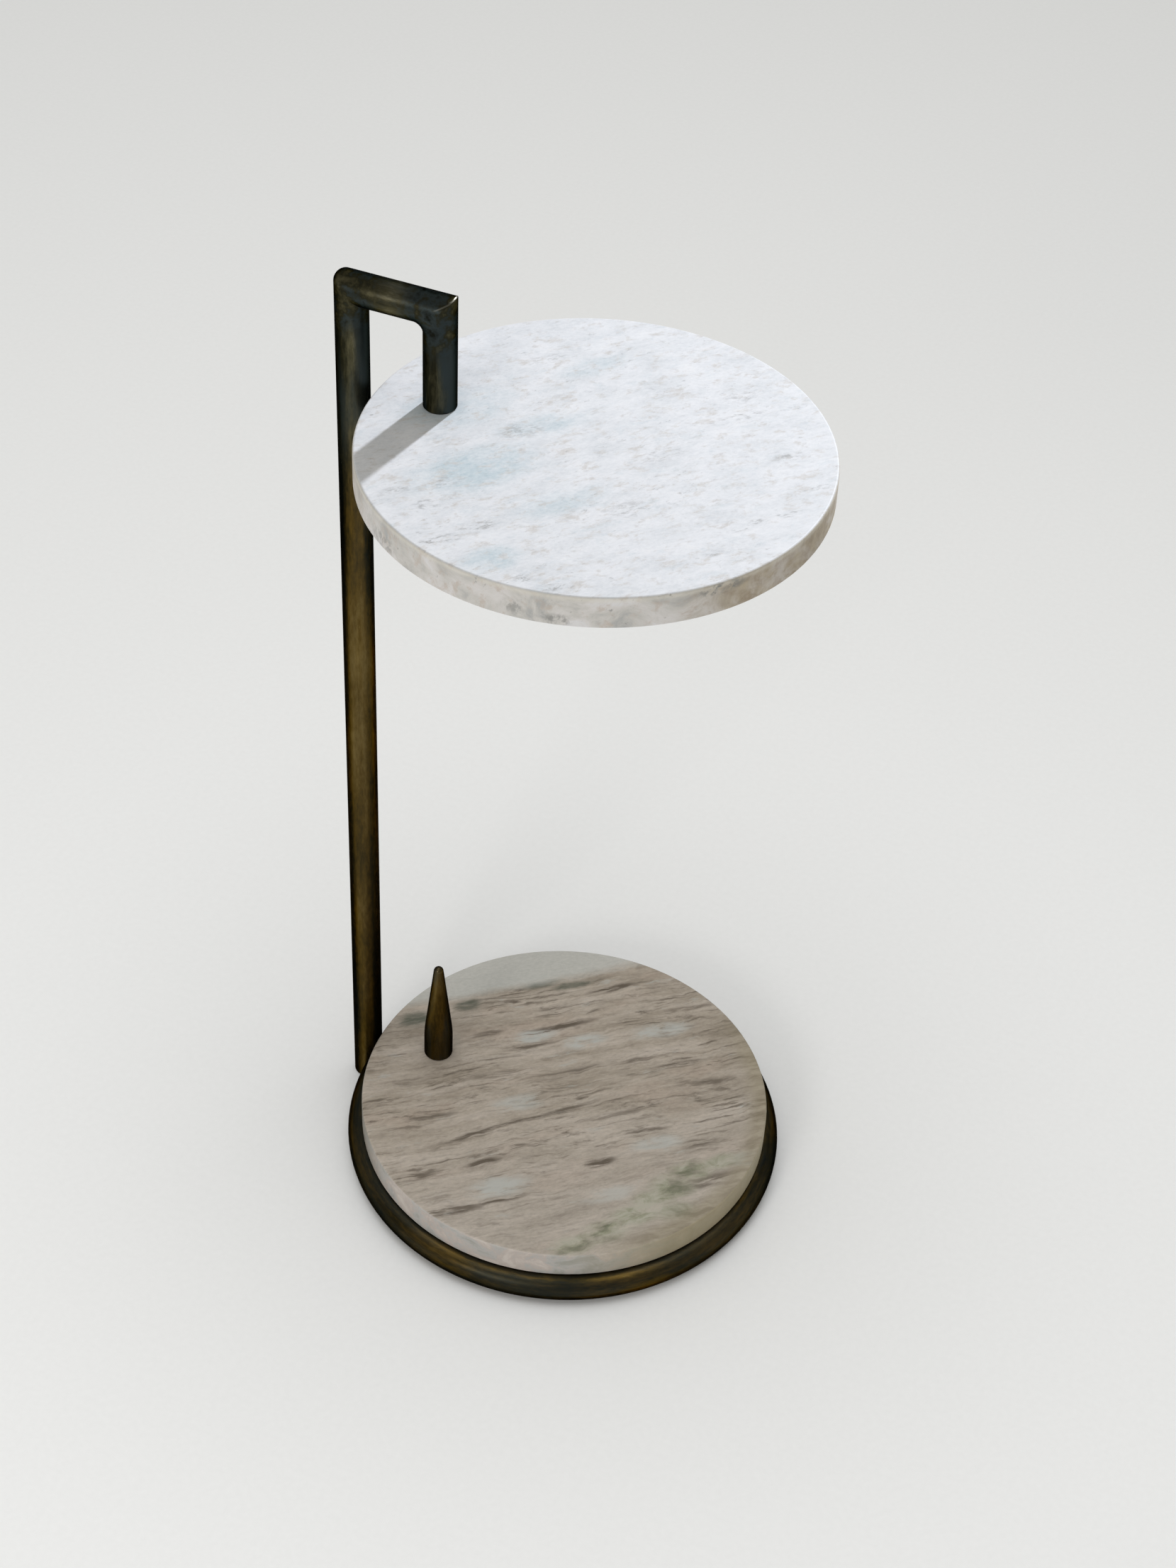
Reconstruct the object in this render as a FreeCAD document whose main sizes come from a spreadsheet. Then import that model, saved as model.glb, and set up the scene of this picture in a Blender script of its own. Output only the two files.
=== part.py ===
import FreeCAD, Part
import math
import os
import Sketcher

# Wine table: a round marble top hung from a tubular carrying handle, above a marble base on a tube ring.
# Millimetres. The origin is on the floor, on the common axis of the slabs and the ring.
# The post, the handle and the cone lie in the XZ plane, on the -X side.

doc = FreeCAD.newDocument("wine_table")
sheet = doc.addObject("Spreadsheet::Sheet", "sizes")

DRIVING_SIZES = {
    # Frame tube
    "tube_d": 20.4,
    "tube_wall": 2.0,
    "ring_lift": 1.2,
    "post_gap": 1.5,
    "handle_span": 56.5,
    "bar_rise": 64.5,
    "post_corner_r": 6.0,
    "leg_corner_r": 2.0,
    "corner_weld_r": 4.5,
    "weld_inset": 0.03,
    "vent_d": 4.0,
    "foot_plate_h": 3.0,
    # Stone slabs
    "base_d": 288.0,
    "base_h": 21.0,
    "crest_gap": 0.3,
    "top_gap": 5.5,
    "top_h": 21.0,
    "table_h": 598.0,
    "arris_r": 1.5,
    # Cone on the base slab
    "cone_h": 86.0,
    "cone_foot_h": 16.0,
    "cone_foot_r": 1.5,
    "cone_tip_r": 3.5,
    "cone_shoulder_r": 120.0,
    # Clamp of the top slab
    "leg_gasket_h": 0.8,
    "gasket_inset": 0.6,
    "plug_h": 18.0,
    "plug_gap": 0.05,
    "plate_inset": 6.0,
    "plate_h": 4.0,
    "plate_bevel": 0.8,
    "plate_gasket_h": 1.0,
    "bolt_d": 8.0,
    "bolt_hole_d": 9.0,
    "bolt_bite": 14.0,
    "bolt_head_d": 14.0,
    "bolt_head_h": 4.4,
    "bolt_dome_r": 3.6,
    "bolt_key_w": 5.0,
    "bolt_key_depth": 2.6,
    "spring_washer_d": 14.8,
    "spring_washer_h": 2.2,
    "spring_washer_slot": 1.6,
    "thread_gap": 0.05,
    "thread_bevel": 0.6,
    # Fixing of the cone
    "stud_d": 6.0,
    "stud_hole_d": 7.0,
    "stud_bite": 18.0,
    "stud_end": 2.0,
    "washer_d": 18.0,
    "washer_h": 1.6,
    "nut_w": 10.0,
    "nut_h": 5.0,
    # Seats of the base slab and pads on the floor
    "tab_w": 22.0,
    "tab_h": 4.0,
    "tab_reach": 30.0,
    "slab_pad_d": 12.0,
    "slab_pad_h": 1.0,
    "floor_pad_d": 10.0,
    "floor_pad_h": 3.0,
    "floor_pad_inset": 3.5,
    # Length by which a cutting outline runs past what it cuts
    "overrun": 5.0,
}

TAB_COUNT = 3
FLOOR_PAD_COUNT = 4
HEX_SIDES = 6

for row, (alias, size) in enumerate(DRIVING_SIZES.items(), start=1):
    sheet.set(f"A{row}", alias)
    sheet.set(f"B{row}", str(size))
    sheet.setAlias(f"B{row}", alias)
doc.recompute()

# Formulas that several pieces share
TUBE_R = "(sizes.tube_d / 2)"
BORE_R = f"({TUBE_R} - sizes.tube_wall)"
RING_R = "(sizes.base_d / 2)"
RING_Z = f"(sizes.ring_lift + {TUBE_R})"
BASE_Z = "(sizes.ring_lift + sizes.tube_d + sizes.crest_gap)"
BASE_TOP_Z = f"({BASE_Z} + sizes.base_h)"
POST_X = f"(sizes.base_d / 2 + sizes.post_gap + {TUBE_R})"
LEG_X = f"({POST_X} - sizes.handle_span)"
TOP_R = f"({POST_X} - {TUBE_R} - sizes.top_gap)"
TOP_Z = "(sizes.table_h - sizes.top_h)"
BAR_Z = "(sizes.table_h + sizes.bar_rise)"
LEG_FOOT_Z = "(sizes.table_h + sizes.leg_gasket_h)"
PLATE_R = f"({TOP_R} - {LEG_X} - sizes.plate_inset)"
PLATE_GASKET_Z = f"({TOP_Z} - sizes.plate_gasket_h)"
PLATE_Z = f"({PLATE_GASKET_Z} - sizes.plate_h)"
SPRING_WASHER_Z = f"({PLATE_Z} - sizes.spring_washer_h)"
BOLT_HOLE_R = "(sizes.bolt_hole_d / 2)"
STUD_HOLE_R = "(sizes.stud_hole_d / 2)"
WASHER_Z = f"({BASE_Z} - sizes.washer_h)"
NUT_Z = f"({WASHER_Z} - sizes.nut_h)"
STUD_Z = f"({NUT_Z} - sizes.stud_end)"
TAB_Z = f"({BASE_Z} - sizes.slab_pad_h - sizes.tab_h)"

Z_AXIS = FreeCAD.Vector(0, 0, 1)
UPRIGHT = FreeCAD.Rotation()
HALF_TURN = FreeCAD.Rotation(Z_AXIS, 180)
# Own +Z along the part's +X, own -X downwards
LEVEL = FreeCAD.Rotation(FreeCAD.Vector(1, 0, 1), 180)

# Largest difference between two lengths that count as equal
MATCH = 1e-6

# How a sketch numbers its axes, its origin and the points of a line or arc
V_AXIS_ID = -2
H_AXIS_ID = -1
ORIGIN_ID = -1
START_ID = 1
END_ID = 2
CENTRE_ID = 3

sub_parts = []


def measure(formula):
    """Value of a formula over the sheet."""
    return float(sheet.evalExpression(formula))


def new_body(name, x="0", z="0", rotation=UPRIGHT):
    """Sub-part whose own origin stands at x, z of the part's XZ plane."""
    body = doc.addObject("PartDesign::Body", name)
    body.Label = name
    body.Placement = FreeCAD.Placement(FreeCAD.Vector(), rotation)
    body.setExpression("Placement.Base.x", x)
    body.setExpression("Placement.Base.z", z)
    sub_parts.append(body)
    return body


def new_sketch(body, name, role, lift="0"):
    """Sketch on one of the body's own origin planes, lifted along that plane's normal."""
    sketch = body.newObject("Sketcher::SketchObject", name)
    plane = next(item for item in body.Origin.OriginFeatures if item.Role == role)
    sketch.AttachmentSupport = (plane, [""])
    sketch.MapMode = "FlatFace"
    sketch.setExpression("AttachmentOffset.Base.z", lift)
    return sketch


def hold(sketch, kind, *arguments, formula):
    """Dimension of a sketch that follows a formula."""
    index = sketch.addConstraint(Sketcher.Constraint(kind, *arguments, measure(formula)))
    sketch.setExpression(f"Constraints[{index}]", formula)


def hold_point(sketch, geometry, point, x, y):
    """Tie one point of a sketch to the formulas x and y."""
    for kind, axis, formula in (("DistanceX", V_AXIS_ID, x), ("DistanceY", H_AXIS_ID, y)):
        if formula == "0":
            sketch.addConstraint(Sketcher.Constraint("PointOnObject", geometry, point, axis))
        else:
            hold(sketch, kind, ORIGIN_ID, START_ID, geometry, point, formula=formula)


def draw_circle(sketch, radius, x="0", y="0"):
    """Circle whose radius and centre follow formulas."""
    centre = FreeCAD.Vector(measure(x), measure(y), 0)
    circle = sketch.addGeometry(Part.Circle(centre, Z_AXIS, measure(radius)))
    hold(sketch, "Radius", circle, formula=radius)
    hold_point(sketch, circle, CENTRE_ID, x, y)


def draw_polygon(sketch, corners):
    """Closed outline through corners given as pairs of formulas."""
    points = [FreeCAD.Vector(measure(x), measure(y), 0) for x, y in corners]
    ends = points[1:] + points[:1]
    lines = [sketch.addGeometry(Part.LineSegment(start, end)) for start, end in zip(points, ends)]
    for line, following in zip(lines, lines[1:] + lines[:1]):
        sketch.addConstraint(Sketcher.Constraint("Coincident", line, END_ID, following, START_ID))
    for line, (x, y) in zip(lines, corners):
        hold_point(sketch, line, START_ID, x, y)


def draw_axis(sketch, start, end):
    """Construction line to turn a sketch about."""
    points = [FreeCAD.Vector(measure(x), measure(y), 0) for x, y in (start, end)]
    line = sketch.addGeometry(Part.LineSegment(*points), True)
    hold_point(sketch, line, START_ID, *start)
    hold_point(sketch, line, END_ID, *end)


def hexagon(across_flats):
    """Corners of a regular hexagon."""
    corner_r = f"({across_flats}) / sqrt(3)"
    turns = [f"({side} * 360 deg / {HEX_SIDES})" for side in range(HEX_SIDES)]
    return [(f"{corner_r} * cos({turn})", f"{corner_r} * sin({turn})") for turn in turns]


def pad(body, sketch, height):
    """Solid raised from a sketch."""
    feature = body.newObject("PartDesign::Pad", sketch.Name + "_pad")
    feature.Profile = sketch
    feature.setExpression("Length", height)
    return feature


def pocket_through(body, sketch, symmetric=False, upwards=False):
    """Cut from a sketch right through the body, downwards unless told otherwise."""
    feature = body.newObject("PartDesign::Pocket", sketch.Name + "_pocket")
    feature.Profile = sketch
    feature.Type = "ThroughAll"
    feature.Reversed = upwards
    if symmetric:
        feature.SideType = "Symmetric"


def pocket_up(body, sketch, depth):
    """Cut of a given depth from a sketch upwards."""
    feature = body.newObject("PartDesign::Pocket", sketch.Name + "_pocket")
    feature.Profile = sketch
    feature.Reversed = True
    feature.setExpression("Length", depth)


def turn(body, sketch, kind, axis="V_Axis", angle=360):
    """Revolution or Groove of a sketch about one of its axes."""
    feature = body.newObject("PartDesign::" + kind, sketch.Name + "_turned")
    feature.Profile = sketch
    feature.ReferenceAxis = (sketch, [axis])
    feature.Angle = angle


def polar_pattern(body, features, count):
    """Even copies of features about the body's Z axis."""
    pattern = body.newObject("PartDesign::PolarPattern", body.Name + "_pattern")
    pattern.Originals = features
    pattern.Axis = (next(item for item in body.Origin.OriginFeatures if item.Role == "Z_Axis"), [""])
    pattern.Angle = 360
    pattern.Occurrences = count
    body.Tip = pattern


def circle_edges(feature, radius, heights=None):
    """Names of a feature's round edges of one radius, at the given own heights or at any height."""
    names = []
    for index, edge in enumerate(feature.Shape.Edges, start=1):
        if edge.Degenerated or not isinstance(edge.Curve, Part.Circle):
            continue
        if abs(edge.Curve.Radius - measure(radius)) > MATCH:
            continue
        if heights is None or any(abs(edge.Curve.Center.z - measure(z)) < MATCH for z in heights):
            names.append(f"Edge{index}")
    return names


def dress(body, kind, feature, edges, size_name, formula):
    """Fillet or Chamfer on named edges."""
    dressing = body.newObject("PartDesign::" + kind, feature.Name + "_" + kind.lower())
    dressing.Base = (feature, edges)
    dressing.setExpression(size_name, formula)


def cope_to_ring(body, ring_x="0", own_z="0"):
    """Cut the body to the outside of the floor ring, whose axis is at ring_x in the body's own frame."""
    section = new_sketch(body, body.Name + "_cope", "XZ_Plane")
    draw_circle(section, TUBE_R, f"{ring_x} + {RING_R}", f"{RING_Z} - {own_z}")
    draw_axis(section, (ring_x, "0"), (ring_x, TUBE_R))
    turn(body, section, "Groove", "Axis0")


def disc(name, height, radius, hole_radius=None, x="0", z="0"):
    """Flat round piece, with a concentric hole where a radius for it is given."""
    body = new_body(name, x, z)
    outline = new_sketch(body, name + "_outline", "XY_Plane")
    draw_circle(outline, radius)
    if hole_radius:
        draw_circle(outline, hole_radius)
    return body, pad(body, outline, height)


def round_corner(body, name, height, radius, end):
    """Carry the tube's outer side round a corner about a height: end is 1, or -1 at the tube's start."""
    inset = f"({TUBE_R} - {radius})"
    segment = new_sketch(body, name, "XY_Plane", f"{height} + ({end}) * {inset}")
    half = math.acos(measure(inset) / measure(TUBE_R))
    arc_shape = Part.ArcOfCircle(Part.Circle(FreeCAD.Vector(), Z_AXIS, measure(TUBE_R)), -half, half)
    arc = segment.addGeometry(arc_shape)
    chord = segment.addGeometry(Part.LineSegment(arc_shape.EndPoint, arc_shape.StartPoint))
    for line, following in ((arc, chord), (chord, arc)):
        segment.addConstraint(Sketcher.Constraint("Coincident", line, END_ID, following, START_ID))
    segment.addConstraint(Sketcher.Constraint("Vertical", chord))
    hold(segment, "Radius", arc, formula=TUBE_R)
    hold_point(segment, arc, CENTRE_ID, "0", "0")
    hold(segment, "DistanceX", ORIGIN_ID, START_ID, chord, START_ID, formula=inset)
    draw_axis(segment, (inset, f"({end}) * {TUBE_R}"), (inset, f"-({end}) * {TUBE_R}"))
    turn(body, segment, "Revolution", "Axis0", 90)


def mitred_tube(name, run, x, z, rotation, corner_r, start_corner_r=None, corner_weld=False):
    """Tube along its own +Z to a mitre about the height run, turning towards its own -X side."""
    body = new_body(name, x, z, rotation)
    start = f"-({TUBE_R} - {start_corner_r})" if start_corner_r else "0"
    skin = new_sketch(body, name + "_skin", "XY_Plane", start)
    draw_circle(skin, TUBE_R)
    pad(body, skin, f"{run} + {TUBE_R} - {corner_r} - ({start})")
    round_corner(body, name + "_corner", run, corner_r, 1)

    far = "sizes.tube_d"
    mitre = new_sketch(body, name + "_mitre", "XZ_Plane")
    above = f"{run} + {far}"
    draw_polygon(mitre, [(f"-{far}", f"{run} - {far}"), (far, above), (f"-{far}", above)])
    pocket_through(body, mitre, symmetric=True)
    if start_corner_r:
        round_corner(body, name + "_start_corner", "0", start_corner_r, -1)
        mitre = new_sketch(body, name + "_start_mitre", "XZ_Plane")
        draw_polygon(mitre, [(f"-{far}", far), (f"-{far}", f"-{far}"), (far, f"-{far}")])
        pocket_through(body, mitre, symmetric=True)
    if corner_weld:
        # Dressed weld that rounds the inside of the corner: an eighth turn up to the mitre, whose toe
        # lies just under the tube's skin
        bend_r = f"({TUBE_R} + sizes.corner_weld_r)"
        weld = new_sketch(body, name + "_weld", "XY_Plane", f"{run} - {bend_r}")
        draw_circle(weld, f"{TUBE_R} - sizes.weld_inset")
        draw_axis(weld, (f"-{bend_r}", TUBE_R), (f"-{bend_r}", f"-{TUBE_R}"))
        turn(body, weld, "Revolution", "Axis0", 45)

    # The bore ends square at the corner's axis, which leaves the outer half of the corner solid
    bore = new_sketch(body, name + "_bore", "XY_Plane")
    draw_circle(bore, BORE_R)
    pocket_up(body, bore, run)
    return body


def make_base_ring():
    """Closed ring of tube on the floor, with a vent into the foot of the post."""
    body = new_body("base_ring")
    section = new_sketch(body, "base_ring_section", "XZ_Plane")
    draw_circle(section, TUBE_R, RING_R, RING_Z)
    draw_circle(section, BORE_R, RING_R, RING_Z)
    turn(body, section, "Revolution")
    vent = new_sketch(body, "base_ring_vent", "XY_Plane", RING_Z)
    draw_circle(vent, "sizes.vent_d / 2", f"-({POST_X} - {BORE_R} + {RING_R} + {TUBE_R}) / 2")
    pocket_through(body, vent, upwards=True)


def make_frame_tubes():
    """Post, handle bar and drop leg, and the plate that closes the post's foot."""
    post = mitred_tube("post", f"({BAR_Z} - sizes.ring_lift)", f"-{POST_X}", "sizes.ring_lift", HALF_TURN,
                       "sizes.post_corner_r")
    cope_to_ring(post, f"-{POST_X}", "sizes.ring_lift")
    plate, _ = disc("post_foot_plate", "sizes.foot_plate_h", f"{BORE_R} - sizes.plug_gap",
                    x=f"-{POST_X}", z="sizes.ring_lift")
    cope_to_ring(plate, POST_X, "sizes.ring_lift")
    mitred_tube("handle_bar", "sizes.handle_span", f"-{POST_X}", BAR_Z, LEVEL,
                "sizes.leg_corner_r", "sizes.post_corner_r", corner_weld=True)
    mitred_tube("drop_leg", f"({BAR_Z} - {LEG_FOOT_Z})", f"-{LEG_X}", LEG_FOOT_Z, UPRIGHT,
                "sizes.leg_corner_r", corner_weld=True)


def make_slab(name, height, radius, z, hole_radius):
    """Round stone slab with eased arrises and one hole on the drop leg's axis."""
    body, slab = disc(name, height, radius, z=z)
    doc.recompute()
    dress(body, "Fillet", slab, circle_edges(slab, radius), "Radius", "sizes.arris_r")
    hole = new_sketch(body, name + "_hole", "XY_Plane")
    draw_circle(hole, hole_radius, f"-{LEG_X}")
    pocket_through(body, hole, upwards=True)


def make_cone():
    """Pointed cone with an eased foot, a soft shoulder, a round tip and a tapped hole underneath."""
    body = new_body("cone_finial", f"-{LEG_X}", BASE_TOP_Z)
    profile = new_sketch(body, "cone_profile", "XZ_Plane")
    foot_r = measure(TUBE_R)
    foot_h = measure("sizes.cone_foot_h")
    ease_r = measure("sizes.cone_foot_r")
    shoulder_r = measure("sizes.cone_shoulder_r")
    tip_r = measure("sizes.cone_tip_r")
    height = measure("sizes.cone_h")
    # The slope is the common tangent of the shoulder's arc and the tip's, at this angle about both centres
    shoulder_centre = FreeCAD.Vector(foot_r - shoulder_r, foot_h, 0)
    tip_centre = FreeCAD.Vector(0, height - tip_r, 0)
    between = tip_centre - shoulder_centre
    tangent = math.atan2(between.y, between.x) - math.acos((shoulder_r - tip_r) / between.Length)
    shoulder_arc = Part.ArcOfCircle(Part.Circle(shoulder_centre, Z_AXIS, shoulder_r), 0, tangent)
    tip_arc = Part.ArcOfCircle(Part.Circle(tip_centre, Z_AXIS, tip_r), tangent, math.pi / 2)
    ease_centre = FreeCAD.Vector(foot_r - ease_r, ease_r, 0)
    ease_arc = Part.ArcOfCircle(Part.Circle(ease_centre, Z_AXIS, ease_r), -math.pi / 2, 0)

    base = profile.addGeometry(Part.LineSegment(FreeCAD.Vector(), ease_arc.StartPoint))
    ease = profile.addGeometry(ease_arc)
    side = profile.addGeometry(Part.LineSegment(ease_arc.EndPoint, shoulder_arc.StartPoint))
    shoulder = profile.addGeometry(shoulder_arc)
    slope = profile.addGeometry(Part.LineSegment(shoulder_arc.EndPoint, tip_arc.StartPoint))
    tip = profile.addGeometry(tip_arc)
    axis = profile.addGeometry(Part.LineSegment(tip_arc.EndPoint, FreeCAD.Vector()))
    for line, following in ((tip, axis), (axis, base)):
        profile.addConstraint(Sketcher.Constraint("Coincident", line, END_ID, following, START_ID))
    for line, following in ((base, ease), (ease, side), (side, shoulder), (shoulder, slope), (slope, tip)):
        profile.addConstraint(Sketcher.Constraint("Tangent", line, END_ID, following, START_ID))
    profile.addConstraint(Sketcher.Constraint("PointOnObject", tip, CENTRE_ID, V_AXIS_ID))
    profile.addConstraint(Sketcher.Constraint("PointOnObject", base, END_ID, H_AXIS_ID))
    profile.addConstraint(Sketcher.Constraint("Vertical", side))
    hold(profile, "Radius", ease, formula="sizes.cone_foot_r")
    hold(profile, "Radius", shoulder, formula="sizes.cone_shoulder_r")
    hold(profile, "Radius", tip, formula="sizes.cone_tip_r")
    hold_point(profile, base, START_ID, "0", "0")
    hold_point(profile, side, END_ID, TUBE_R, "sizes.cone_foot_h")
    hold_point(profile, axis, START_ID, "0", "sizes.cone_h")
    turn(body, profile, "Revolution")

    hole = new_sketch(body, "cone_hole", "XY_Plane")
    draw_circle(hole, "sizes.stud_d / 2")
    pocket_up(body, hole, "sizes.stud_bite + sizes.stud_end")


def make_top_clamp():
    """Everything that clamps the top slab to the drop leg, from the plug in the leg down to the bolt."""
    axis = f"-{LEG_X}"
    disc("leg_plug", "sizes.plug_h", f"{BORE_R} - sizes.plug_gap", "sizes.bolt_d / 2", axis, LEG_FOOT_Z)
    disc("leg_gasket", "sizes.leg_gasket_h", f"{TUBE_R} - sizes.gasket_inset", BOLT_HOLE_R,
         axis, "sizes.table_h")
    disc("plate_gasket", "sizes.plate_gasket_h", f"{PLATE_R} - sizes.gasket_inset", BOLT_HOLE_R,
         axis, PLATE_GASKET_Z)
    body, plate = disc("top_plate", "sizes.plate_h", PLATE_R, BOLT_HOLE_R, axis, PLATE_Z)
    doc.recompute()
    dress(body, "Chamfer", plate, circle_edges(plate, PLATE_R, ["0"]), "Size", "sizes.plate_bevel")

    washer_r = "sizes.spring_washer_d / 2"
    body, _ = disc("top_spring_washer", "sizes.spring_washer_h", washer_r, BOLT_HOLE_R,
                   axis, SPRING_WASHER_Z)
    split = new_sketch(body, "top_spring_washer_split", "XY_Plane")
    half_slot = "sizes.spring_washer_slot / 2"
    far = f"{washer_r} + sizes.overrun"
    draw_polygon(split, [("0", f"-{half_slot}"), (far, f"-{half_slot}"),
                         (far, half_slot), ("0", half_slot)])
    pocket_through(body, split, upwards=True)
    make_top_bolt(axis)


def make_top_bolt(axis):
    """Button-head bolt with a hexagon socket, head downwards."""
    shank_r = "sizes.bolt_d / 2 - sizes.thread_gap"
    length = f"({LEG_FOOT_Z} + sizes.bolt_bite - {SPRING_WASHER_Z})"
    body, shank = disc("top_bolt", length, shank_r, x=axis, z=SPRING_WASHER_Z)
    doc.recompute()
    dress(body, "Chamfer", shank, circle_edges(shank, shank_r, [length]), "Size", "sizes.thread_bevel")
    head_r = "sizes.bolt_head_d / 2"
    outline = new_sketch(body, "top_bolt_head", "XY_Plane", "-sizes.bolt_head_h")
    draw_circle(outline, head_r)
    head = pad(body, outline, "sizes.bolt_head_h")
    doc.recompute()
    rim = circle_edges(head, head_r, ["-sizes.bolt_head_h"])
    dress(body, "Fillet", head, rim, "Radius", "sizes.bolt_dome_r")
    socket = new_sketch(body, "top_bolt_socket", "XY_Plane", "-sizes.bolt_head_h")
    draw_polygon(socket, hexagon("sizes.bolt_key_w"))
    pocket_up(body, socket, "sizes.bolt_key_depth")


def make_cone_fixing():
    """Stud, washer and nut that hold the cone through the base slab."""
    axis = f"-{LEG_X}"
    stud_r = "sizes.stud_d / 2 - sizes.thread_gap"
    body, stud = disc("cone_stud", f"{BASE_TOP_Z} + sizes.stud_bite - {STUD_Z}", stud_r, x=axis, z=STUD_Z)
    doc.recompute()
    dress(body, "Chamfer", stud, circle_edges(stud, stud_r), "Size", "sizes.thread_bevel")
    disc("base_washer", "sizes.washer_h", "sizes.washer_d / 2", STUD_HOLE_R, axis, WASHER_Z)

    body = new_body("base_nut", axis, NUT_Z)
    outline = new_sketch(body, "base_nut_outline", "XY_Plane")
    draw_polygon(outline, hexagon("sizes.nut_w"))
    draw_circle(outline, "sizes.stud_d / 2")
    pad(body, outline, "sizes.nut_h")
    # Corners bevelled at 30 degrees on both faces
    near = "sizes.nut_w / 2"
    far = "(sizes.nut_w / sqrt(3) + sizes.overrun)"
    drop = f"({far} - {near}) * tan(30 deg)"
    bevel = new_sketch(body, "base_nut_bevel", "XZ_Plane")
    draw_polygon(bevel, [(near, "sizes.nut_h"), (far, f"sizes.nut_h - {drop}"), (far, "sizes.nut_h")])
    turn(body, bevel, "Groove")
    bevel = new_sketch(body, "base_nut_lower_bevel", "XZ_Plane")
    draw_polygon(bevel, [(near, "0"), (far, "0"), (far, drop)])
    turn(body, bevel, "Groove")


def make_slab_seats():
    """Tabs inside the ring that carry the base slab, and the soft pads on them."""
    body = new_body("slab_tabs", z=TAB_Z)
    inner = f"({RING_R} - sizes.tab_reach)"
    half_w = "sizes.tab_w / 2"
    outline = new_sketch(body, "slab_tabs_outline", "XY_Plane")
    draw_polygon(outline, [(inner, f"-{half_w}"), (RING_R, f"-{half_w}"),
                           (RING_R, half_w), (inner, half_w)])
    polar_pattern(body, [pad(body, outline, "sizes.tab_h")], TAB_COUNT)
    cope_to_ring(body, own_z=TAB_Z)

    body = new_body("slab_pads", z=f"{TAB_Z} + sizes.tab_h")
    outline = new_sketch(body, "slab_pads_outline", "XY_Plane")
    draw_circle(outline, "sizes.slab_pad_d / 2", f"{inner} + {half_w}")
    polar_pattern(body, [pad(body, outline, "sizes.slab_pad_h")], TAB_COUNT)


def make_floor_pads():
    """Low pads pressed onto the underside of the ring, a little inside its middle and clear of the post."""
    body = new_body("floor_pads", rotation=FreeCAD.Rotation(Z_AXIS, 180 / FLOOR_PAD_COUNT))
    outline = new_sketch(body, "floor_pads_outline", "XY_Plane")
    draw_circle(outline, "sizes.floor_pad_d / 2", f"{RING_R} - sizes.floor_pad_inset")
    polar_pattern(body, [pad(body, outline, "sizes.floor_pad_h")], FLOOR_PAD_COUNT)
    cope_to_ring(body)


def check_document():
    """Stop if a feature failed, cut nothing, or left a sub-part without a valid solid."""
    for item in doc.Objects:
        if "Invalid" in item.State or "Error" in item.State:
            raise RuntimeError(f"{item.Label} failed: {item.State}")
        if item.TypeId in ("PartDesign::Pocket", "PartDesign::Groove"):
            if item.Shape.Volume >= item.BaseFeature.Shape.Volume:
                raise RuntimeError(f"{item.Label} cuts nothing")
    for part in sub_parts:
        if part.Shape.isNull() or not part.Shape.isValid() or not part.Shape.Solids:
            raise RuntimeError(f"{part.Label} is not a valid solid")


make_base_ring()
make_frame_tubes()
make_slab("marble_top", "sizes.top_h", TOP_R, TOP_Z, BOLT_HOLE_R)
make_slab("marble_base", "sizes.base_h", RING_R, BASE_Z, STUD_HOLE_R)
make_cone()
make_top_clamp()
make_cone_fixing()
make_slab_seats()
make_floor_pads()
doc.recompute()
check_document()

os.makedirs("parts", exist_ok=True)
for part in sub_parts:
    part.Shape.exportStep(f"parts/{part.Label}.step")
    box = part.Shape.BoundBox
    print(f"{part.Label}: {len(part.Shape.Solids)} solids, {part.Shape.Volume:.1f} mm3, "
          f"z {box.ZMin:.2f} to {box.ZMax:.2f}")
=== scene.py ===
import math

import bmesh
import bpy
from mathutils import Matrix, Vector


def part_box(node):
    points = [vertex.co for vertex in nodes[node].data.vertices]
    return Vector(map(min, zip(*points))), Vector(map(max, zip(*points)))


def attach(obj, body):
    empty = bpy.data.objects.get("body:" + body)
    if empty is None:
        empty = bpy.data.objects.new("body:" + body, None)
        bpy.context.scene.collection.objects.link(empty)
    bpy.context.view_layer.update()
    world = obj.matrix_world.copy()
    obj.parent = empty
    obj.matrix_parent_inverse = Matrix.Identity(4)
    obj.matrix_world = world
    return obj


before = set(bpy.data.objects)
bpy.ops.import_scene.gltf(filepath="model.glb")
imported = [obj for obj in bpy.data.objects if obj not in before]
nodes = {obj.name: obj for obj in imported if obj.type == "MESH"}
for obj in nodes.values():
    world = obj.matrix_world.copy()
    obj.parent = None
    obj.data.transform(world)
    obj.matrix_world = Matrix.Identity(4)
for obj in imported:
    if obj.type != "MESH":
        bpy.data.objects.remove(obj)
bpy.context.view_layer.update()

# Camera of the photograph, solved from the slabs, the ring and the tubes
IMAGE_H = 2212
FOCAL_PX = 3779.85
SENSOR_MM = 36.0
CAMERA_AT = Vector((0.4598, -1.1905, 1.4780))
CAMERA_AZIMUTH = math.radians(20.89)
CAMERA_DIP = math.radians(41.73)
CAMERA_ROLL = math.radians(2.99)

# Frame sizes in metres, read from the CAD pieces
ring_low, ring_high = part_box("base_ring")
post_low, post_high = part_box("post")
_, leg_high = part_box("drop_leg")
TUBE_R = (post_high[1] - post_low[1]) / 2
RING_R = ring_high[0] - TUBE_R
RING_Z = (ring_low[2] + ring_high[2]) / 2
POST_X = post_low[0] + TUBE_R
LEG_X = leg_high[0] - TUBE_R
BAR_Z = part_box("handle_bar")[1][2] - TUBE_R
CONE_TIP_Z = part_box("cone_finial")[1][2]


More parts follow.
